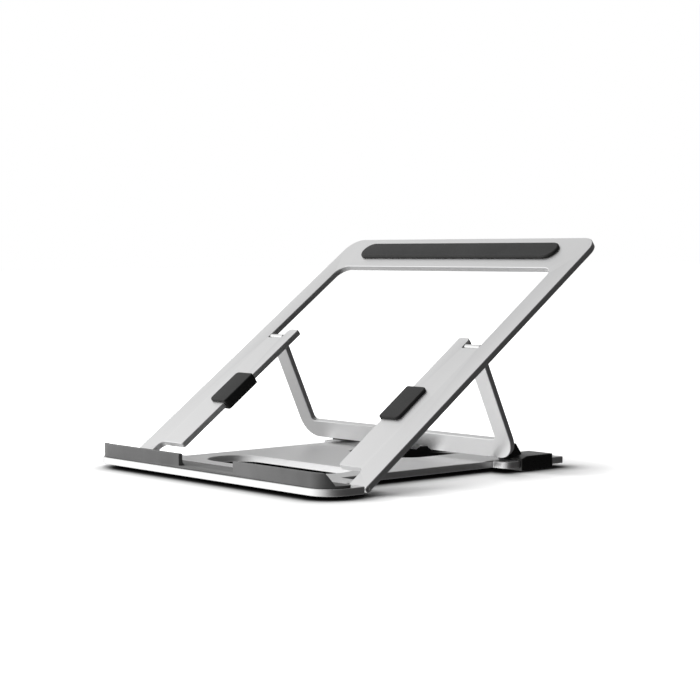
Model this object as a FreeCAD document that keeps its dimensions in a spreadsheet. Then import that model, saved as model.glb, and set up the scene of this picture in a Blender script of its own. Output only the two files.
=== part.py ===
import FreeCAD, Part
import os, math
from FreeCAD import Vector as V, Rotation, Placement
import Sketcher

# Folding laptop stand, millimetres, +Z up, X to the right, Y to the back.
# The origin is the middle of the footprint on the floor.  Every plate is an
# aluminium sheet cut to outline; the soft parts are moulded rubber.
# "Stand frame" coordinates below have y = 0 at the front edge of the base;
# every sub-part is then moved forward by shift_back.

doc = FreeCAD.newDocument("laptop_stand")
sheet = doc.addObject("Spreadsheet::Sheet", "Dims")

DIMS = [
    # base plate
    ("half_wide", 130.0), ("bar_half", 131.3), ("base_thick", 4.6), ("base_under", 2.0),
    ("base_corner", 17.5), ("bar_depth", 48.5), ("plate_half", 86.4),
    ("notch_x", 111.6), ("notch_y", 31.3), ("ear_y", 183.3), ("ear_half", 100.3),
    ("ear_end", 238.0), ("ear_inner", 84.0), ("rail_end", 214.0), ("rail_inner", 36.0),
    ("gap_y", 148.0), ("gap_round", 18.0), ("win_half", 67.0), ("win_front", 43.6), ("win_back", 84.2),
    ("win_round", 20.29),
    # support frame, measured along the arm from the hinge axis
    ("hinge_y", 34.2), ("hinge_z", 4.3), ("tilt", 36.06), ("frame_thick", 4.2),
    ("frame_long", 259.4), ("frame_corner", 13.0), ("arm_in_low", 87.1),
    ("arm_in_high", 113.25), ("arm_start", 15.7), ("tongue_in", 112.5), ("arch_round", 4.5),
    ("recess_x", 98.2), ("recess_floor", 136.6), ("horn_top", 147.0),
    ("open_top", 225.1), ("open_corner", 9.0),
    # kickstand, measured down the leg from its hinge axis
    ("kick_at", 139.5), ("kick_lean", 24.2), ("kick_half", 112.9), ("leg_wide", 13.9),
    ("kick_long", 83.0), ("kick_bar", 13.9), ("kick_corner", 15.0), ("kick_thick", 4.2),
    ("kick_notch_a", 12.0), ("kick_notch_b", 28.0), ("kick_notch_deep", 2.6), ("kick_tab", 1.5),
    # hinge pins and washers
    ("pin_rad", 1.25), ("pin_gap", 0.05), ("front_pin_in", 98.0), ("front_pin_out", 129.7),
    ("kick_pin_in", 91.0), ("kick_pin_out", 121.0), ("washer_rad", 2.0),
    ("front_washer", 0.7), ("kick_washer", 0.6),
    # rubber front lip
    ("lip_set", 1.1), ("lip_side", 129.8), ("lip_round", 16.2), ("lip_back", 22.0),
    ("lip_back_round", 3.0), ("lip_mat", 1.7), ("lip_film", 0.3), ("lip_wall", 3.0),
    ("lip_high", 9.7), ("lip_root", 3.2), ("lip_step_left", 26.8), ("lip_step_right", 34.3),
    ("lip_drop_a", 4.9), ("lip_drop_b", 9.8), ("lip_edge", 0.6),
    # pads
    ("pad_half", 102.8), ("pad_low", 235.0), ("pad_wide", 16.8), ("pad_thick", 2.0),
    ("pad_film", 0.3),
    ("clip_s0", 61.5), ("clip_s1", 93.0), ("clip_out", 103.6), ("clip_wall", 2.6),
    ("clip_skin", 2.2), ("clip_under", 97.0),
    # rear blocks
    ("block_y0", 195.5), ("block_y1", 225.5), ("block_in", 79.0), ("block_out", 102.3),
    ("block_top", 9.8), ("block_nose", 8.0), ("block_under_in", 87.0),
    ("tooth_in", 80.0), ("tooth_out", 91.0), ("tooth_high", 17.7), ("rest_y", 183.4),
    # front feet
    ("foot_x", 82.0), ("foot_y", 14.0), ("foot_long", 34.0), ("foot_wide", 10.0),
    ("shift_back", -122.48),
]
for i, (name, value) in enumerate(DIMS):
    sheet.set("A%d" % (i + 1), name)
    sheet.set("B%d" % (i + 1), repr(float(value)))
    sheet.setAlias("B%d" % (i + 1), name)
doc.recompute()
D = {n: float(sheet.get(n)) for n, _ in DIMS}

SHIFT = V(0, D["shift_back"], 0)
BASE_TOP = D["base_under"] + D["base_thick"]
TILT = D["tilt"]
HINGE = V(0, D["hinge_y"], D["hinge_z"])
# the frame's own plane: local X across, local Y up the arm, local Z out of the front face
FRAME_PL = Placement(HINGE + SHIFT, Rotation(V(1, 0, 0), TILT))
_t = math.radians(TILT)
KICK_AXIS = HINGE + V(0, D["kick_at"] * math.cos(_t), D["kick_at"] * math.sin(_t))
# kickstand plane: local X across, local Y down the leg, local Z out of its back face
_p = math.radians(D["kick_lean"])
KICK_PL = Placement(KICK_AXIS + SHIFT, Rotation(V(1, 0, 0), -(90.0 - D["kick_lean"])))


def plane_of(body, role):
    for f in body.Origin.OriginFeatures:
        if f.Role == role:
            return f
    raise RuntimeError(role)


def new_sketch(body, name, role="XY_Plane"):
    sk = body.newObject("Sketcher::SketchObject", name)
    sk.AttachmentSupport = (plane_of(body, role), [""])
    sk.MapMode = "FlatFace"
    return sk


def rounded(points):
    """points: (x, y, r).  Returns the list of segments of the closed outline with
    each corner rounded by its r, as ('l', a, b) and ('a', centre, r, a, b)."""
    n = len(points)
    cut = []
    for i in range(n):
        x, y, r = points[i]
        p = V(x, y, 0)
        a = V(points[i - 1][0], points[i - 1][1], 0)
        b = V(points[(i + 1) % n][0], points[(i + 1) % n][1], 0)
        if r <= 0:
            cut.append((p, p, None, 0))
            continue
        u = (a - p).normalize()
        w = (b - p).normalize()
        half = u.getAngle(w) / 2.0
        d = r / math.tan(half)
        bis = (u + w).normalize()
        c = p + bis * (r / math.sin(half))
        cut.append((p + u * d, p + w * d, c, r))
    segs = []
    for i in range(n):
        s, e, c, r = cut[i]
        if c is not None:
            segs.append(("a", c, r, s, e))
        nxt = cut[(i + 1) % n][0]
        if (nxt - e).Length > 1e-6:
            segs.append(("l", e, nxt))
    return segs


def draw(sk, points):
    """draws a rounded outline into a sketch"""
    geo = []
    for g in rounded(points):
        if g[0] == "l":
            geo.append(Part.LineSegment(g[1], g[2]))
        else:
            _, c, r, s, e = g
            a0 = math.atan2(s.y - c.y, s.x - c.x)
            a1 = math.atan2(e.y - c.y, e.x - c.x)
            d = (a1 - a0) % (2 * math.pi)
            if d > math.pi:
                a0, a1 = a1, a0
            geo.append(Part.ArcOfCircle(Part.Circle(c, V(0, 0, 1), r), a0, a1))
    first = sk.GeometryCount
    sk.addGeometry(geo, False)
    m = len(geo)
    for i in range(m):
        j = (i + 1) % m
        ends = []
        for k in (1, 2):
            for q in (1, 2):
                dd = (sk.getPoint(first + i, k) - sk.getPoint(first + j, q)).Length
                ends.append((dd, k, q))
        _, k, q = min(ends)
        sk.addConstraint(Sketcher.Constraint("Coincident", first + i, k, first + j, q))


def pad(body, sk, length, name, rev=False, mid=False):
    f = body.newObject("PartDesign::Pad", name)
    f.Profile = sk
    f.setExpression("Length", length) if isinstance(length, str) else setattr(f, "Length", length)
    f.Midplane = mid
    f.Reversed = rev
    doc.recompute()
    return f


def pocket(body, sk, length, name, rev=False, mid=False, through=False):
    before = body.Shape.Volume
    f = body.newObject("PartDesign::Pocket", name)
    f.Profile = sk
    if through:
        f.Type = 1
    elif isinstance(length, str):
        f.setExpression("Length", length)
    else:
        f.Length = length
    f.Midplane = mid
    f.Reversed = rev
    doc.recompute()
    if body.Shape.Volume > before - 1e-3:
        raise RuntimeError("pocket %s cut nothing" % name)
    return f


def edges_where(shape, test):
    return ["Edge%d" % (i + 1) for i, e in enumerate(shape.Edges) if test(e)]


def chamfer(body, size, test, name):
    base = body.Tip
    ed = edges_where(base.Shape, test)
    if not ed:
        raise RuntimeError("no edges for " + name)
    f = body.newObject("PartDesign::Chamfer", name)
    f.Base = (base, ed)
    f.Size = size
    doc.recompute()
    return f


def fillet(body, size, test, name):
    base = body.Tip
    ed = edges_where(base.Shape, test)
    if not ed:
        raise RuntimeError("no edges for " + name)
    f = body.newObject("PartDesign::Fillet", name)
    f.Base = (base, ed)
    f.Radius = size
    doc.recompute()
    return f


def make_body(name):
    b = doc.addObject("PartDesign::Body", name)
    b.Label = name
    return b


def mirror_points(right):
    """closes a right-half outline (bottom to top) with its mirror image"""
    left = [(-x, y, r) for (x, y, r) in reversed(right)]
    return right + left


NODES = []


def keep(obj, name):
    obj.Label = name
    NODES.append((name, obj))


def flat_edge(z):
    def test(e):
        b = e.BoundBox
        return abs(b.ZMin - z) < 1e-4 and abs(b.ZMax - z) < 1e-4
    return test


# ---------------------------------------------------------------- base plate
base = make_body("base_plate")
sk = new_sketch(base, "base_outline")
h, bh, c = D["half_wide"], D["bar_half"], D["base_corner"]
right = [
    (bh, 0.0, c), (bh, D["notch_y"], 2.2), (D["notch_x"], D["notch_y"], 0.6),
    (D["notch_x"], D["bar_depth"], 1.5), (D["plate_half"], D["bar_depth"], 0.8),
    (D["plate_half"], D["ear_y"], 1.2), (D["ear_half"], D["ear_y"], 6.0),
    (D["ear_half"], D["ear_end"], 1.0), (D["ear_inner"], D["ear_end"], 1.0),
    (D["ear_inner"], D["rail_end"], 3.0), (D["rail_inner"], D["rail_end"], 12.0),
    (D["rail_inner"], D["gap_y"], D["gap_round"]),
]
draw(sk, mirror_points(right))
pad(base, sk, "Dims.base_thick", "base_sheet")
win = new_sketch(base, "base_window")
w, r = D["win_half"], D["win_round"]
draw(win, [(-w, D["win_front"], r), (w, D["win_front"], r), (w, D["win_back"], r), (-w, D["win_back"], r)])
pocket(base, win, None, "base_window_cut", mid=True, through=True)
bt = D["base_thick"]
chamfer(base, 0.35, lambda e: flat_edge(bt)(e) or flat_edge(0.0)(e), "base_edge_break")
# blind bores for the two front hinge pins, drilled in from the notch walls
for sgn, tag in ((1, "r"), (-1, "l")):
    bore = new_sketch(base, "base_bore_" + tag, "YZ_Plane")
    cid = bore.addGeometry(Part.Circle(V(D["hinge_y"], D["hinge_z"] - D["base_under"], 0), V(0, 0, 1), D["pin_rad"]), False)
    bore.AttachmentOffset = Placement(V(0, 0, sgn * D["front_pin_in"]), Rotation())
    doc.recompute()
    pocket(base, bore, D["notch_x"] - D["front_pin_in"] + 1.0, "base_bore_cut_" + tag, rev=(sgn > 0))
base.Placement = Placement(SHIFT + V(0, 0, D["base_under"]), Rotation())
keep(base, "base_plate")

# ------------------------------------------------------------- support frame
frame = make_body("support_frame")
sk = new_sketch(frame, "frame_outline")
outer_r = [(h, -2.1, 0.0), (h, D["frame_long"], D["frame_corner"])]
outer_l = [(-h, D["frame_long"], D["frame_corner"]), (-h, -2.1, 0.0)]
inner_l = [
    (-D["tongue_in"], -2.1, 0.0), (-D["tongue_in"], D["arm_start"], D["arch_round"]),
    (-D["arm_in_low"], D["arm_start"], 2.0), (-D["arm_in_low"], D["horn_top"], 1.6),
    (-D["recess_x"], D["horn_top"], 3.6), (-D["recess_x"], D["recess_floor"], 0.8),
    (-D["arm_in_high"], D["recess_floor"], 0.8), (-D["arm_in_high"], D["open_top"], D["open_corner"]),
]
inner_r = [(-x, y, r) for (x, y, r) in reversed(inner_l)]
draw(sk, outer_r + outer_l + inner_l + inner_r)
pad(frame, sk, "Dims.frame_thick", "frame_sheet", mid=True)
ft = D["frame_thick"] / 2.0
chamfer(frame, 0.35, lambda e: (flat_edge(ft)(e) or flat_edge(-ft)(e)) and e.BoundBox.YMax > -2.0, "frame_edge_break")
# round the tongue ends about the hinge axis, then bore them
for sgn, tag in ((1, "r"), (-1, "l")):
    rnd = new_sketch(frame, "tongue_round_" + tag, "YZ_Plane")
    rr = D["frame_thick"] / 2.0
    # material outside the round, on the free end of the tongue
    e0 = -rr - 1.0
    rnd.addGeometry([
        Part.ArcOfCircle(Part.Circle(V(0, 0, 0), V(0, 0, 1), rr), math.pi / 2, 3 * math.pi / 2),
        Part.LineSegment(V(0, rr, 0), V(0, rr + 1, 0)),
        Part.LineSegment(V(0, rr + 1, 0), V(e0, rr + 1, 0)),
        Part.LineSegment(V(e0, rr + 1, 0), V(e0, -rr - 1, 0)),
        Part.LineSegment(V(e0, -rr - 1, 0), V(0, -rr - 1, 0)),
        Part.LineSegment(V(0, -rr - 1, 0), V(0, -rr, 0)),
    ], False)
    rnd.AttachmentOffset = Placement(V(0, 0, sgn * 105.0), Rotation())
    doc.recompute()
    pocket(frame, rnd, 30.0, "tongue_round_cut_" + tag, rev=(sgn > 0))
    bore = new_sketch(frame, "tongue_bore_" + tag, "YZ_Plane")
    bore.addGeometry(Part.Circle(V(0, 0, 0), V(0, 0, 1), D["pin_rad"] + D["pin_gap"]), False)
    bore.AttachmentOffset = Placement(V(0, 0, sgn * 105.0), Rotation())
    doc.recompute()
    pocket(frame, bore, 30.0, "tongue_bore_cut_" + tag, rev=(sgn > 0))
    # blind bore across the recess for the kickstand pin
    kb = new_sketch(frame, "kick_bore_" + tag, "YZ_Plane")
    kb.addGeometry(Part.Circle(V(D["kick_at"], 0, 0), V(0, 0, 1), D["pin_rad"]), False)
    kb.AttachmentOffset = Placement(V(0, 0, sgn * D["kick_pin_in"]), Rotation())
    doc.recompute()
    pocket(frame, kb, D["kick_pin_out"] - D["kick_pin_in"], "kick_bore_cut_" + tag, rev=(sgn > 0))
frame.Placement = FRAME_PL
keep(frame, "support_frame")

# ----------------------------------------------------------------- kickstand
kick = make_body("kickstand")
sk = new_sketch(kick, "kick_outline")
ko, lw, kl = D["kick_half"], D["leg_wide"], D["kick_long"]
ki = ko - lw
na, nb, nd, nt = D["kick_notch_a"], D["kick_notch_b"], D["kick_notch_deep"], D["kick_tab"]
kt = D["kick_thick"] / 2.0
pts = [
    (ko, -kt, 0.0), (ko, kl, D["kick_corner"]),
    (nb, kl, 0.0), (nb - 3.0, kl - nd, 0.6), (na, kl - nd, 0.4), (na, kl + nt, 0.8),
    (-na, kl + nt, 0.8), (-na, kl - nd, 0.4), (-nb + 3.0, kl - nd, 0.6), (-nb, kl, 0.0),
    (-ko, kl, D["kick_corner"]), (-ko, -kt, 0.0), (-ki, -kt, 0.0),
    (-ki, kl - D["kick_bar"], 3.0), (ki, kl - D["kick_bar"], 3.0), (ki, -kt, 0.0),
]
draw(sk, pts)
pad(kick, sk, "Dims.kick_thick", "kick_sheet", mid=True)
chamfer(kick, 0.35, lambda e: (flat_edge(kt)(e) or flat_edge(-kt)(e)) and e.BoundBox.YMax > -2.0, "kick_edge_break")
for sgn, tag in ((1, "r"), (-1, "l")):
    rnd = new_sketch(kick, "tab_round_" + tag, "YZ_Plane")
    e0 = -kt - 1.0
    rnd.addGeometry([
        Part.ArcOfCircle(Part.Circle(V(0, 0, 0), V(0, 0, 1), kt), math.pi / 2, 3 * math.pi / 2),
        Part.LineSegment(V(0, kt, 0), V(0, kt + 1, 0)),
        Part.LineSegment(V(0, kt + 1, 0), V(e0, kt + 1, 0)),
        Part.LineSegment(V(e0, kt + 1, 0), V(e0, -kt - 1, 0)),
        Part.LineSegment(V(e0, -kt - 1, 0), V(0, -kt - 1, 0)),
        Part.LineSegment(V(0, -kt - 1, 0), V(0, -kt, 0)),
    ], False)
    rnd.AttachmentOffset = Placement(V(0, 0, sgn * 90.0), Rotation())
    doc.recompute()
    pocket(kick, rnd, 40.0, "tab_round_cut_" + tag, rev=(sgn > 0))
    kb = new_sketch(kick, "tab_bore_" + tag, "YZ_Plane")
    kb.addGeometry(Part.Circle(V(0, 0, 0), V(0, 0, 1), D["pin_rad"] + D["pin_gap"]), False)
    kb.AttachmentOffset = Placement(V(0, 0, sgn * 90.0), Rotation())
    doc.recompute()
    pocket(kick, kb, 40.0, "tab_bore_cut_" + tag, rev=(sgn > 0))
kick.Placement = KICK_PL
keep(kick, "kickstand")


# ------------------------------------------------- hinge pins and washers
def pin(name, x0, x1, at, radius):
    o = doc.addObject("Part::Cylinder", name)
    o.setExpression("Radius", radius)
    o.Height = x1 - x0
    o.Placement = Placement(V(x0, at.y, at.z) + SHIFT, Rotation(V(0, 1, 0), 90))
    doc.recompute()
    ch = doc.addObject("Part::Chamfer", name + "_ends")
    ch.Base = o
    ed = [(i + 1, 0.25, 0.25) for i, e in enumerate(o.Shape.Edges) if e.Curve.TypeId == "Part::GeomCircle"]
    ch.Edges = ed
    doc.recompute()
    keep(ch, name)


def washer(name, x0, x1, at):
    a = doc.addObject("Part::Cylinder", name + "_disc")
    a.setExpression("Radius", "Dims.washer_rad")
    a.Height = x1 - x0
    b = doc.addObject("Part::Cylinder", name + "_hole")
    b.Radius = D["pin_rad"] + 0.1
    b.Height = x1 - x0 + 2
    pl = Rotation(V(0, 1, 0), 90)
    a.Placement = Placement(V(x0, at.y, at.z) + SHIFT, pl)
    b.Placement = Placement(V(x0 - 1, at.y, at.z) + SHIFT, pl)
    cut = doc.addObject("Part::Cut", name)
    cut.Base, cut.Tool = a, b
    doc.recompute()
    keep(cut, name)


for sgn, tag in ((1, "right"), (-1, "left")):
    def span(a, b):
        return (a, b) if sgn > 0 else (-b, -a)
    a, b = span(D["front_pin_in"], D["front_pin_out"])
    pin("front_hinge_pin_" + tag, a, b, HINGE, "Dims.pin_rad")
    a, b = span(D["kick_pin_in"], D["kick_pin_out"])
    pin("kickstand_pin_" + tag, a, b, KICK_AXIS, "Dims.pin_rad")
    a, b = span(D["notch_x"], D["notch_x"] + D["front_washer"])
    washer("front_hinge_washer_" + tag, a, b, HINGE)
    a, b = span(D["recess_x"], D["recess_x"] + D["kick_washer"])
    washer("kickstand_washer_" + tag, a, b, KICK_AXIS)


# ------------------------------------------------------------ rubber parts
def lip_plan(inset, back=None):
    """plan of the rubber front piece, drawn in by inset from its own edge"""
    hx, y0 = D["lip_side"] - inset, D["lip_set"] + inset
    y1 = D["lip_back"] - inset if back is None else back
    r0, r1 = D["lip_round"] - inset, D["lip_back_round"] - inset if back is None else 0.0
    e = []
    for g in rounded([(hx, y0, r0), (hx, y1, r1), (-hx, y1, r1), (-hx, y0, r0)]):
        if g[0] == "l":
            e.append(Part.LineSegment(g[1], g[2]).toShape())
        else:
            _, c, r, a, b = g
            e.append(Part.Arc(a, c + ((a - c) + (b - c)).normalize() * r, b).toShape())
    return Part.Face(Part.Wire(Part.__sortEdges__(e)))


# a thin mat on the front bar, with an upright wall along its front edge: the wall
# is left out in the middle, turns both corners and ramps down beyond them
z0 = BASE_TOP + D["lip_film"]
mat_h, high = D["lip_mat"] - D["lip_film"], D["lip_high"] - D["lip_film"]
mat = lip_plan(0.0).extrude(V(0, 0, mat_h))
wall = lip_plan(0.0).extrude(V(0, 0, high)).cut(lip_plan(D["lip_wall"], 60.0).extrude(V(0, 0, high)))
gap_w = D["lip_step_left"] + D["lip_step_right"]
wall = wall.cut(Part.makeBox(gap_w, 40.0, high + 2, V(-D["lip_step_left"], -5.0, -1.0)))
ya, yb = D["lip_drop_a"], D["lip_drop_b"]
side = [V(-150.0, y, z) for y, z in ((ya, high + 5), (ya, high), (yb, mat_h), (60.0, mat_h - 0.5), (60.0, high + 5))]
ramp = Part.Face(Part.makePolygon(side + [side[0]])).extrude(V(300.0, 0, 0))
low_mid = Part.makeBox(200.0, 70.0, high + 10, V(-100.0, -5.0, -5.0))
wall = wall.cut(ramp.cut(low_mid))
wall = wall.cut(Part.makeBox(300.0, 60.0, high + 2, V(-150.0, yb + 0.01, -1.0)))
lip_shape = mat.fuse(wall).removeSplitter()


def at_root(e):
    """concave edges where the wall stands on the mat"""
    b = e.BoundBox
    if abs(b.ZMin - mat_h) > 1e-3 or abs(b.ZMax - mat_h) > 1e-3:
        return False
    straight = b.YLength < 1e-3 and abs(b.YMin - D["lip_set"] - D["lip_wall"]) < 1e-3
    return straight


roots = [e for e in lip_shape.Edges if at_root(e)]
if len(roots) != 2:
    raise RuntimeError("lip roots %d" % len(roots))
lip_shape = lip_shape.makeFillet(D["lip_root"], roots)
tops = [e for e in lip_shape.Edges if e.BoundBox.ZMin > high - 1e-3]
lip_shape = lip_shape.makeFillet(D["lip_edge"], tops)
if lip_shape.ShapeType == "Compound" and len(lip_shape.Solids) == 1:
    lip_shape = lip_shape.Solids[0]
lip = doc.addObject("Part::Feature", "front_lip")
lip.Shape = lip_shape
lip.Placement = Placement(SHIFT + V(0, 0, z0), Rotation())
keep(lip, "front_lip")

film = doc.addObject("Part::Feature", "front_lip_tape")
film.Shape = lip_plan(0.5).extrude(V(0, 0, D["lip_film"]))
film.Placement = Placement(SHIFT + V(0, 0, BASE_TOP), Rotation())
keep(film, "front_lip_tape")

# top pad: a long stadium bonded on the front face of the top bar
for name, thick, lift, shrink in (("top_pad_tape", "pad_film", 0.0, 0.6), ("top_pad", "pad_thick", D["pad_film"], 0.0)):
    b = make_body(name)
    sk = new_sketch(b, name + "_outline")
    ph, pl_, pw = D["pad_half"] - shrink, D["pad_low"] + shrink, D["pad_wide"] - 2 * shrink
    rr = pw / 2.0 - 0.01
    draw(sk, [(-ph, pl_, rr), (ph, pl_, rr), (ph, pl_ + pw, rr), (-ph, pl_ + pw, rr)])
    pad(b, sk, "Dims." + thick, name + "_sheet")
    if name == "top_pad":
        chamfer(b, 0.9, flat_edge(D["pad_thick"]), "top_pad_bevel")
    b.Placement = FRAME_PL.multiply(Placement(V(0, 0, D["frame_thick"] / 2.0 + lift), Rotation()))
    keep(b, name)

# arm pads: U-shaped clips over the inner edges of the arms
for sgn, tag in ((1, "right"), (-1, "left")):
    b = make_body("arm_pad_" + tag)
    sk = new_sketch(b, "arm_pad_section_" + tag, "XZ_Plane")
    xi, xo = D["arm_in_low"] - D["clip_wall"], D["clip_out"]
    t2, kskin = D["frame_thick"] / 2.0, D["clip_skin"]
    sec = [
        (xi, -t2 - kskin, 0.0), (D["clip_under"], -t2 - kskin, 0.0), (D["clip_under"], -t2, 0.0),
        (D["arm_in_low"], -t2, 0.0), (D["arm_in_low"], t2, 0.0), (xo, t2, 0.0),
        (xo, t2 + kskin, 0.0), (xi, t2 + kskin, 0.0),
    ]
    # the section is walked the other way round on the left arm
    draw(sk, [(sgn * x, z, r) for x, z, r in sec])
    length = D["clip_s1"] - D["clip_s0"]
    f = pad(b, sk, length, "arm_pad_long_" + tag)
    bb = b.Shape.BoundBox
    # the section plane's normal points to -Y: slide the clip to its place up the arm
    y0 = D["clip_s0"] - bb.YMin

    def upright(at, e):
        q = e.BoundBox
        return abs(abs(q.XMin) - at) < 1e-3 and q.XLength < 1e-3 and q.YLength < 1e-3 and q.ZLength > 1.0
    fillet(b, 3.2, lambda e: upright(xo, e), "arm_pad_corner_" + tag)
    fillet(b, 2.4, lambda e: upright(D["clip_under"], e), "arm_pad_flange_" + tag)
    fillet(b, 1.6, lambda e: upright(xi, e), "arm_pad_nose_" + tag)
    fillet(b, 0.9, lambda e: flat_edge(t2 + kskin)(e), "arm_pad_top_" + tag)
    chamfer(b, 0.5, lambda e: flat_edge(-t2 - kskin)(e), "arm_pad_bottom_" + tag)
    b.Placement = FRAME_PL.multiply(Placement(V(0, y0, 0), Rotation()))
    keep(b, "arm_pad_" + tag)

# rear blocks: rubber catches clipped round the ears from outside, with a tooth
for sgn, tag in ((1, "right"), (-1, "left")):
    name = "rear_block_" + tag
    y0b, y1b = D["block_y0"], D["block_y1"]
    xi, xo = D["block_in"], D["block_out"]
    hb, ub = D["block_top"], D["base_under"]
    sec = [(D["block_under_in"], 0.0), (xo, 0.0), (xo, hb), (xi, hb), (xi, BASE_TOP),
           (D["ear_half"], BASE_TOP), (D["ear_half"], ub), (D["block_under_in"], ub)]
    w = Part.makePolygon([V(x, y0b, z) for x, z in sec] + [V(sec[0][0], y0b, sec[0][1])])
    shell = Part.Face(w).extrude(V(0, y1b - y0b, 0))
    # sloping nose on the top front edge
    nose = Part.Face(Part.makePolygon([V(xi - 1, y0b - 1, hb + 1), V(xi - 1, y0b - 1, D["block_nose"]), V(xi - 1, y0b, D["block_nose"]),
                                       V(xi - 1, y0b + 5.0, hb), V(xi - 1, y0b + 5.0, hb + 1), V(xi - 1, y0b - 1, hb + 1)])).extrude(V(xo - xi + 3, 0, 0))
    shell = shell.cut(nose)
    # the tooth behind the kickstand's foot, with the shelf the foot comes down on
    tx0, tx1, th_ = D["tooth_in"], D["tooth_out"], D["tooth_high"]
    ry = D["rest_y"]
    prof = [(ry, 9.2), (ry, 10.9), (187.5, 12.9), (192.5, 14.6), (197.0, th_), (201.0, th_), (207.0, hb - 0.5), (ry + 14.0, BASE_TOP + 0.3), (ry + 12.2, BASE_TOP + 0.3), (ry + 11.0, 9.2)]
    tooth = Part.Face(Part.makePolygon([V(tx0, y, z) for y, z in prof] + [V(tx0, prof[0][0], prof[0][1])])).extrude(V(tx1 - tx0, 0, 0))
    block = shell.fuse(tooth).removeSplitter()
    sol = block.Solids[0]
    def is_round(e):
        bb = e.BoundBox
        if bb.ZMin < 0.5 and bb.ZMax < 0.5:
            return False
        on_out = abs(bb.XMin - xo) < 1e-3 and abs(bb.XMax - xo) < 1e-3
        return on_out
    es = [e for e in sol.Edges if is_round(e)]
    sol = sol.makeFillet(0.8, es)
    es = [e for e in sol.Edges if e.BoundBox.ZMin > th_ - 1e-3]
    sol = sol.makeFillet(1.2, [e for e in es if e.BoundBox.XLength > 5 and e.BoundBox.YLength < 1e-3])
    if sgn < 0:
        sol = sol.mirror(V(0, 0, 0), V(1, 0, 0))
    o = doc.addObject("Part::Feature", name)
    o.Shape = sol
    o.Placement = Placement(SHIFT, Rotation())
    keep(o, name)

# front feet: rounded rubber strips under the front bar
for sgn, tag in ((1, "right"), (-1, "left")):
    b = make_body("front_foot_" + tag)
    sk = new_sketch(b, "front_foot_outline_" + tag)
    fx, fy, fl, fw = sgn * D["foot_x"], D["foot_y"], D["foot_long"] / 2, D["foot_wide"] / 2
    draw(sk, [(fx - fl, fy - fw, fw - 0.01), (fx + fl, fy - fw, fw - 0.01), (fx + fl, fy + fw, fw - 0.01), (fx - fl, fy + fw, fw - 0.01)])
    pad(b, sk, "Dims.base_under", "front_foot_sheet_" + tag)
    chamfer(b, 0.5, flat_edge(0.0), "front_foot_bevel_" + tag)
    b.Placement = Placement(SHIFT, Rotation())
    keep(b, "front_foot_" + tag)

doc.recompute()
for o in doc.Objects:
    bad = [s for s in o.State if s in ("Invalid", "Error")]
    if bad:
        raise RuntimeError("%s is %s" % (o.Name, bad))
os.makedirs("parts", exist_ok=True)
for f in os.listdir("parts"):
    if f.endswith(".step"):
        os.remove(os.path.join("parts", f))
names = set()
for name, obj in NODES:
    s = obj.Shape
    if s.isNull() or not s.isValid() or not s.Solids:
        raise RuntimeError("bad shape " + name)
    if name in names:
        raise RuntimeError("twice " + name)
    names.add(name)
    s.exportStep("parts/%s.step" % name)
    bb = s.BoundBox
    print("%-26s solids %d vol %9.1f  x %.1f..%.1f y %.1f..%.1f z %.1f..%.1f" % (
        name, len(s.Solids), s.Volume, bb.XMin, bb.XMax, bb.YMin, bb.YMax, bb.ZMin, bb.ZMax))
print(len(NODES), "nodes")
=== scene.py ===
import math
import bpy
import bmesh
from mathutils import Matrix, Vector


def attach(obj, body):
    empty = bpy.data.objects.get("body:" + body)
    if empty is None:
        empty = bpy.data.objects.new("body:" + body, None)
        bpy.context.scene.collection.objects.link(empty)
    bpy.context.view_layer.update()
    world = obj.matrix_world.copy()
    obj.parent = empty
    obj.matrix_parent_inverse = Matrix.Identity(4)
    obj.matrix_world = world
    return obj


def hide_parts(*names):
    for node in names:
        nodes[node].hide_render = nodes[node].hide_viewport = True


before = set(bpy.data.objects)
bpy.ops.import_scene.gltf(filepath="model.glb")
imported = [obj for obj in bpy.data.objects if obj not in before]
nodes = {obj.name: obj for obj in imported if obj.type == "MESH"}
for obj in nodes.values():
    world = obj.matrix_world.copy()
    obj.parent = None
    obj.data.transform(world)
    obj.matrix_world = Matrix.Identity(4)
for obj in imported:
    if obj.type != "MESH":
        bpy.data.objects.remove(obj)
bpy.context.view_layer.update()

scene = bpy.context.scene

# ------------------------------------------------------------------ camera
# The same place in the CAD frame as the photographed stand was seen from.
AZ, EL, ROLL = math.radians(50.195), math.radians(3.244), math.radians(-0.414)
fwd = Vector((-math.sin(AZ) * math.cos(EL), math.cos(AZ) * math.cos(EL), -math.sin(EL)))
right = Vector((math.cos(AZ), math.sin(AZ), 0.0))
up = right.cross(fwd)
r2 = math.cos(ROLL) * right + math.sin(ROLL) * up
u2 = -math.sin(ROLL) * right + math.cos(ROLL) * up
cam_data = bpy.data.cameras.new("camera")
cam_data.sensor_width = 36.0
cam_data.lens = 1890.15 / 700.0 * 36.0
cam_data.clip_start = 0.05
cam_data.clip_end = 30.0
cam = bpy.data.objects.new("camera", cam_data)
scene.collection.objects.link(cam)
cam.matrix_world = Matrix((
    (r2.x, u2.x, -fwd.x, 1.0135),
    (r2.y, u2.y, -fwd.y, -0.8384),
    (r2.z, u2.z, -fwd.z, 0.1563),
    (0, 0, 0, 1)))
scene.camera = cam

# ------------------------------------------------------------------ world, floor, lights
world = bpy.data.worlds.new("studio")
scene.world = world
world.use_nodes = True
wn = world.node_tree
wn.nodes.clear()
w_out = wn.nodes.new("ShaderNodeOutputWorld")
w_see = wn.nodes.new("ShaderNodeBackground")
w_see.inputs["Color"].default_value = (1, 1, 1, 1)
w_see.inputs["Strength"].default_value = 1.0
w_lit = wn.nodes.new("ShaderNodeBackground")
w_lit.inputs["Strength"].default_value = 1.0
w_mix = wn.nodes.new("ShaderNodeMixShader")
w_path = wn.nodes.new("ShaderNodeLightPath")
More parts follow.
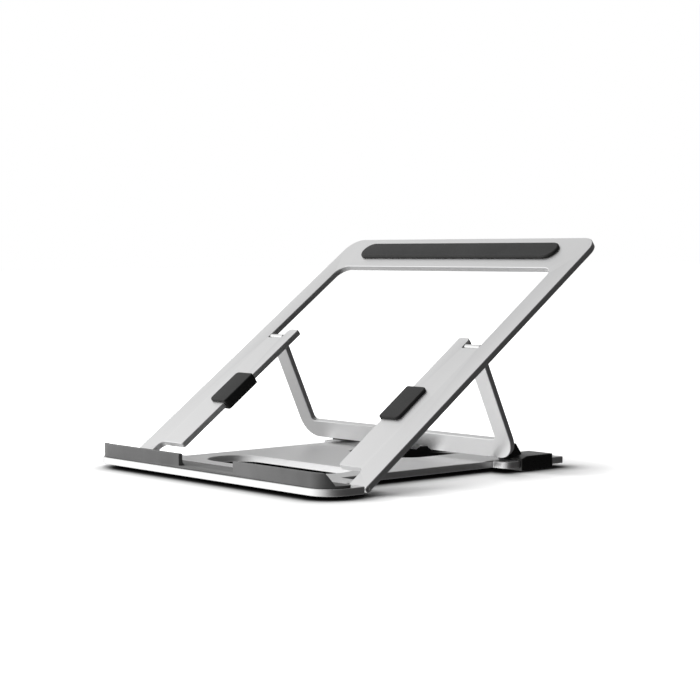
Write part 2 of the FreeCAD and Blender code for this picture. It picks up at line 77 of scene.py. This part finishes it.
# a soft studio: one bright side, front left, falling off round to a dark side
w_tc = wn.nodes.new("ShaderNodeTexCoord")
w_dot = wn.nodes.new("ShaderNodeVectorMath")
w_dot.operation = "DOT_PRODUCT"
w_dot.inputs[1].default_value = (-0.80, -0.60, 0.0)
wn.links.new(w_tc.outputs["Generated"], w_dot.inputs[0])
w_map = wn.nodes.new("ShaderNodeMapRange")
w_map.inputs["From Min"].default_value = -1.0
w_map.inputs["From Max"].default_value = 1.0
wn.links.new(w_dot.outputs["Value"], w_map.inputs["Value"])
w_ramp = wn.nodes.new("ShaderNodeValToRGB")
e = w_ramp.color_ramp.elements
STOPS = [(0.0, 0.04), (0.22, 0.055), (0.42, 0.14), (0.60, 0.52), (0.74, 0.72), (0.86, 0.95), (1.0, 1.25)]
while len(e) > 1:
    e.remove(e[-1])
e[0].position = STOPS[0][0]
e[0].color = (STOPS[0][1],) * 3 + (1,)
for p_, c_ in STOPS[1:]:
    q_ = e.new(p_)
    q_.color = (c_,) * 3 + (1,)
wn.links.new(w_map.outputs["Result"], w_ramp.inputs["Fac"])
wn.links.new(w_ramp.outputs["Color"], w_lit.inputs["Color"])
wn.links.new(w_path.outputs["Is Camera Ray"], w_mix.inputs["Fac"])
wn.links.new(w_lit.outputs["Background"], w_mix.inputs[1])
wn.links.new(w_see.outputs["Background"], w_mix.inputs[2])
wn.links.new(w_mix.outputs["Shader"], w_out.inputs["Surface"])
scene.view_settings.view_transform = "Standard"
scene.view_settings.look = "None"
scene.view_settings.exposure = 0.0
scene.view_settings.gamma = 1.0


def math_node(nt, op, a, b=None):
    n = nt.nodes.new("ShaderNodeMath")
    n.operation = op
    for i, v in enumerate((a, b)):
        if v is None:
            continue
        if isinstance(v, (int, float)):
            n.inputs[i].default_value = v
        else:
            nt.links.new(v, n.inputs[i])
    return n.outputs[0]


def vector_node(nt, op, a, b=None, scalar="Vector"):
    n = nt.nodes.new("ShaderNodeVectorMath")
    n.operation = op
    for i, v in enumerate((a, b)):
        if v is None:
            continue
        if isinstance(v, tuple):
            n.inputs[i].default_value = v
        else:
            nt.links.new(v, n.inputs[i])
    return n.outputs[scalar]


def plain(name, color, rough):
    m = bpy.data.materials.new(name)
    m.use_nodes = True
    b = m.node_tree.nodes["Principled BSDF"]
    b.inputs["Base Color"].default_value = (*color, 1)
    b.inputs["Roughness"].default_value = rough
    b.inputs["Specular IOR Level"].default_value = 0.0
    return m


def painted_shadow_floor():
    """White studio floor with a painted contact shadow: colour painted dark under the
    stand's footprint and in a patch behind its middle, fading out over a few centimetres, with a painted glow
    further out."""
    m = bpy.data.materials.new("painted_shadow_floor")
    m.use_nodes = True
    nt = m.node_tree
    b = nt.nodes["Principled BSDF"]
    b.inputs["Roughness"].default_value = 0.9
    b.inputs["Specular IOR Level"].default_value = 0.0
    tc = nt.nodes.new("ShaderNodeTexCoord")
    sep = nt.nodes.new("ShaderNodeSeparateXYZ")
    nt.links.new(tc.outputs["Object"], sep.inputs["Vector"])

    def outside(cx, cy, hx, hy, r):
        """distance outside a rounded rectangle, negative inside"""
        qx = math_node(nt, "SUBTRACT", math_node(nt, "ABSOLUTE", math_node(nt, "SUBTRACT", sep.outputs["X"], cx)), hx - r)
        qy = math_node(nt, "SUBTRACT", math_node(nt, "ABSOLUTE", math_node(nt, "SUBTRACT", sep.outputs["Y"], cy)), hy - r)
        comb = nt.nodes.new("ShaderNodeCombineXYZ")
        nt.links.new(math_node(nt, "MAXIMUM", qx, 0.0), comb.inputs["X"])
        nt.links.new(math_node(nt, "MAXIMUM", qy, 0.0), comb.inputs["Y"])
        out = vector_node(nt, "LENGTH", comb.outputs["Vector"], scalar="Value")
        return math_node(nt, "SUBTRACT", out, r)

    # painted shadow: dark footprints under the bar, the plate and the ears, and a dark patch behind the middle so
    # the floor seen through the bar's notch is dark
    bar = outside(0.0060, -0.1025, 0.1235, 0.0200, 0.018)
    plate = outside(0.0, -0.0150, 0.0864, 0.1065, 0.010)
    ears = outside(0.0, 0.0850, 0.1020, 0.0260, 0.004)
    shade_patch_behind = outside(-0.046, 0.118, 0.018, 0.020, 0.010)
    d = math_node(nt, "MINIMUM", math_node(nt, "MINIMUM", bar, plate), math_node(nt, "MINIMUM", ears, shade_patch_behind))
    dd = math_node(nt, "DIVIDE", math_node(nt, "ADD", d, FLOOR_IN), FLOOR_SPAN)
    shade = ramp(nt, dd, FLOOR_SHADE_STOPS)
    nt.links.new(shade.outputs["Color"], b.inputs["Base Color"])
    # painted glow: the floor's emission rises with distance from the painted shadow
    painted_glow = nt.nodes.new("ShaderNodeMapRange")
    painted_glow.interpolation_type = "SMOOTHSTEP"
    painted_glow.inputs["From Min"].default_value = 0.004
    painted_glow.inputs["From Max"].default_value = FLOOR_GLOW[0]
    painted_glow.inputs["To Max"].default_value = FLOOR_GLOW[1]
    nt.links.new(d, painted_glow.inputs["Value"])
    b.inputs["Emission Color"].default_value = (1, 1, 1, 1)
    nt.links.new(painted_glow.outputs["Result"], b.inputs["Emission Strength"])
    return m


def ramp(nt, src, stops):
    r = nt.nodes.new("ShaderNodeValToRGB")
    els = r.color_ramp.elements
    while len(els) > 1:
        els.remove(els[-1])
    els[0].position = stops[0][0]
    els[0].color = (*([stops[0][1]] * 3), 1) if not isinstance(stops[0][1], tuple) else (*stops[0][1], 1)
    for p, c in stops[1:]:
        e = els.new(p)
        e.color = (*([c] * 3), 1) if not isinstance(c, tuple) else (*c, 1)
    nt.links.new(src, r.inputs["Fac"])
    return r


# painted floor shadow: its reach and colour ramp, and the painted glow beyond it
FLOOR_IN, FLOOR_SPAN = 0.004, 0.05
FLOOR_SHADE_STOPS = [(0.0, 0.004), (0.09, 0.03), (0.14, 0.16), (0.19, 0.36), (0.26, 0.60), (0.38, 0.84), (0.60, 0.93)]
FLOOR_GLOW = (0.10, 0.75)


def painted_reflection_card(name, x0, x1, y0, y1, tone):
    """a flat glowing card just over the floor that only mirror rays see: a painted reflection in the metal"""
    bm = bmesh.new()
    bmesh.ops.create_grid(bm, x_segments=2, y_segments=2, size=0.5)
    bm.transform(Matrix.Translation(((x0 + x1) / 2, (y0 + y1) / 2, -0.00035)) @ Matrix.Diagonal((x1 - x0, y1 - y0, 1.0, 1.0)))
    me = bpy.data.meshes.new(name)
    bm.to_mesh(me)
    bm.free()
    c = bpy.data.objects.new(name, me)
    scene.collection.objects.link(c)
    m = plain(name, (0.0, 0.0, 0.0), 0.9)
    b = m.node_tree.nodes["Principled BSDF"]
    b.inputs["Emission Color"].default_value = (1, 1, 1, 1)
    b.inputs["Emission Strength"].default_value = tone
    me.materials.append(m)
    c.visible_camera = False
    c.visible_diffuse = False
    c.visible_shadow = False


def floor_mesh():
    bm = bmesh.new()
    bmesh.ops.create_grid(bm, x_segments=2, y_segments=2, size=9.0)
    me = bpy.data.meshes.new("floor")
    bm.to_mesh(me)
    bm.free()
    o = bpy.data.objects.new("floor", me)
    scene.collection.objects.link(o)
    o.location.z = -0.0004
    o.data.materials.append(painted_shadow_floor())
    o.visible_glossy = False
    o.visible_diffuse = False
    # painted reflections under and beside the stand: a near-black card under the rear gap standing in for its
    # shade, and a glowing card to the left
    painted_reflection_card("gap_painted_shade_card", -0.026, 0.020, 0.036, 0.082, 0.012)
    painted_reflection_card("left_painted_glow_card", -0.330, -0.100, -0.080, 0.110, 0.42)
    return o


floor_mesh()


def area(name, loc, target, size, power, color=(1, 1, 1), size_y=None):
    d = bpy.data.lights.new(name, "AREA")
    d.shape = "RECTANGLE"
    d.size = size
    d.size_y = size_y or size
    d.energy = power
    d.color = color
    o = bpy.data.objects.new(name, d)
    scene.collection.objects.link(o)
    o.location = loc
    o.rotation_euler = (Vector(target) - Vector(loc)).to_track_quat("-Z", "Y").to_euler()
    o.visible_glossy = False
    return o


area("key", (-1.7, -1.7, 0.9), (0, 0, 0.05), 1.0, 58)
area("top", (-0.6, 0.1, 2.4), (0, 0, 0.0), 1.8, 30)

# ------------------------------------------------------------------ materials


def group_noise(nt, scale, detail=4.0, rough=0.5, coords=None, stretch=None):
    n = nt.nodes.new("ShaderNodeTexNoise")
    n.inputs["Scale"].default_value = scale
    n.inputs["Detail"].default_value = detail
    n.inputs["Roughness"].default_value = rough
    if coords is not None:
        if stretch:
            mp = nt.nodes.new("ShaderNodeMapping")
            mp.inputs["Scale"].default_value = stretch
            nt.links.new(coords, mp.inputs["Vector"])
            nt.links.new(mp.outputs["Vector"], n.inputs["Vector"])
        else:
            nt.links.new(coords, n.inputs["Vector"])
    return n


def anodised(name, tone, rough=0.42, edge_highlight_tone=0.95):
    """Bead-blasted, clear anodised aluminium: fine grain in the bump and the
    roughness, slow tone variation, and a painted highlight: brighter colour along sharp edges."""
    m = bpy.data.materials.new(name)
    m.use_nodes = True
    nt = m.node_tree
    b = nt.nodes["Principled BSDF"]
    b.inputs["Metallic"].default_value = 1.0
    tc = nt.nodes.new("ShaderNodeTexCoord")
    co = tc.outputs["Object"]
    grain = group_noise(nt, 2600.0, 3.0, 0.6, co)
    slow = group_noise(nt, 14.0, 3.0, 0.5, co)
    # tone
    tone_r = ramp(nt, slow.outputs["Fac"], [(0.3, tuple(0.965 * t for t in tone)), (0.7, tone)])
    # painted highlight: the colour brightens along sharp edges, found by pointiness
    geo = nt.nodes.new("ShaderNodeNewGeometry")
    edge_highlight = ramp(nt, geo.outputs["Pointiness"], [(0.515, 0.0), (0.56, 1.0)])
    mix = nt.nodes.new("ShaderNodeMix")
    mix.data_type = "RGBA"
    nt.links.new(edge_highlight.outputs["Color"], mix.inputs["Factor"])
    nt.links.new(tone_r.outputs["Color"], mix.inputs["A"])
    mix.inputs["B"].default_value = (edge_highlight_tone, edge_highlight_tone, edge_highlight_tone, 1)
    nt.links.new(mix.outputs["Result"], b.inputs["Base Color"])
    rr = ramp(nt, grain.outputs["Fac"], [(0.3, rough - 0.05), (0.7, rough + 0.06)])
    nt.links.new(rr.outputs["Color"], b.inputs["Roughness"])
    bump = nt.nodes.new("ShaderNodeBump")
    bump.inputs["Strength"].default_value = 0.16
    bump.inputs["Distance"].default_value = 0.00004
    nt.links.new(grain.outputs["Fac"], bump.inputs["Height"])
    nt.links.new(bump.outputs["Normal"], b.inputs["Normal"])
    return m


def rubber(name, tone, rough=0.6, spec=0.3, grain_scale=1500.0):
    m = bpy.data.materials.new(name)
    m.use_nodes = True
    nt = m.node_tree
    b = nt.nodes["Principled BSDF"]
    tc = nt.nodes.new("ShaderNodeTexCoord")
    co = tc.outputs["Object"]
    grain = group_noise(nt, grain_scale, 4.0, 0.65, co)
    slow = group_noise(nt, 45.0, 3.0, 0.55, co)
    c = ramp(nt, slow.outputs["Fac"], [(0.3, tuple(0.88 * t for t in tone)), (0.7, tuple(1.08 * t for t in tone))])
    nt.links.new(c.outputs["Color"], b.inputs["Base Color"])
    rr = ramp(nt, grain.outputs["Fac"], [(0.3, rough - 0.08), (0.7, rough + 0.08)])
    nt.links.new(rr.outputs["Color"], b.inputs["Roughness"])
    b.inputs["Specular IOR Level"].default_value = spec
    bump = nt.nodes.new("ShaderNodeBump")
    bump.inputs["Strength"].default_value = 0.35
    bump.inputs["Distance"].default_value = 0.00005
    nt.links.new(grain.outputs["Fac"], bump.inputs["Height"])
    nt.links.new(bump.outputs["Normal"], b.inputs["Normal"])
    return m


base_metal = anodised("base_anodised", (0.86, 0.86, 0.865), 0.42)
frame_metal = anodised("frame_anodised", (0.80, 0.80, 0.805), 0.42)
pin_metal = anodised("pin_steel", (0.45, 0.45, 0.46), 0.25)
grey_rubber = rubber("lip_rubber", (0.14, 0.14, 0.14), 0.62, spec=0.2)
kick_metal = anodised("kickstand_anodised", (0.92, 0.92, 0.925), 0.40)
pad_rubber = rubber("pad_rubber", (0.026, 0.026, 0.026), 0.6, spec=0.25)
black_rubber = rubber("block_rubber", (0.012, 0.012, 0.012), 0.30, spec=0.5)
nylon = rubber("washer_nylon", (0.03, 0.03, 0.03), 0.45)
film = rubber("bond_film", (0.03, 0.03, 0.03), 0.5)

PAINT = {
    "base_plate": base_metal, "support_frame": frame_metal, "kickstand": kick_metal,
    "front_lip": grey_rubber, "front_lip_tape": film, "top_pad_tape": film,
    "top_pad": pad_rubber, "arm_pad_left": pad_rubber, "arm_pad_right": pad_rubber,
    "rear_block_left": black_rubber, "rear_block_right": black_rubber,
    "front_foot_left": black_rubber, "front_foot_right": black_rubber,
}
for n, o in nodes.items():
    mat = PAINT.get(n)
    if mat is None:
        mat = pin_metal if "_pin_" in n else nylon
    o.data.materials.clear()
    o.data.materials.append(mat)

# ------------------------------------------------------------------ moulded rubber parts
# Each one is built as a clean mesh: welded, flat faces joined, edges rolled with a
# small radius as a moulding has them, then shaded smooth.


def moulded(node, name, mat, radius, segments=3, tilt=0.0):
    src = nodes[node]
    bm = bmesh.new()
    bm.from_mesh(src.data)
    bm.transform(src.matrix_world)
    bmesh.ops.remove_doubles(bm, verts=bm.verts, dist=2e-6)
    bmesh.ops.dissolve_limit(bm, angle_limit=math.radians(1.5), verts=bm.verts, edges=bm.edges)
    me = bpy.data.meshes.new(name)
    bm.to_mesh(me)
    bm.free()
    o = bpy.data.objects.new(name, me)
    scene.collection.objects.link(o)
    me.materials.append(mat)
    bv = o.modifiers.new("rolled_edges", "BEVEL")
    bv.width = radius
    bv.segments = segments
    bv.limit_method = "ANGLE"
    bv.angle_limit = math.radians(24)
    bv.use_clamp_overlap = True
    bv.miter_outer = "MITER_ARC"
    dg = bpy.context.evaluated_depsgraph_get()
    ev = bpy.data.meshes.new_from_object(o.evaluated_get(dg))
    o.modifiers.clear()
    o.data = ev
    for p in ev.polygons:
        p.use_smooth = True
    try:
        ev.set_sharp_from_angle(angle=math.radians(40))
    except AttributeError:
        pass
    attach(o, BODY[node])
    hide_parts(node)
    return o


BODY = {"front_lip": "base", "rear_block_left": "base", "rear_block_right": "base",
        "front_foot_left": "base", "front_foot_right": "base",
        "top_pad": "frame", "arm_pad_left": "frame", "arm_pad_right": "frame"}
moulded("front_lip", "lip_moulding", grey_rubber, 0.00035)
moulded("top_pad", "top_pad_moulding", pad_rubber, 0.00030)
for side in ("left", "right"):
    moulded("arm_pad_" + side, "arm_pad_moulding_" + side, pad_rubber, 0.00040)
    moulded("rear_block_" + side, "rear_block_moulding_" + side, black_rubber, 0.00045)
    moulded("front_foot_" + side, "front_foot_moulding_" + side, black_rubber, 0.00030)
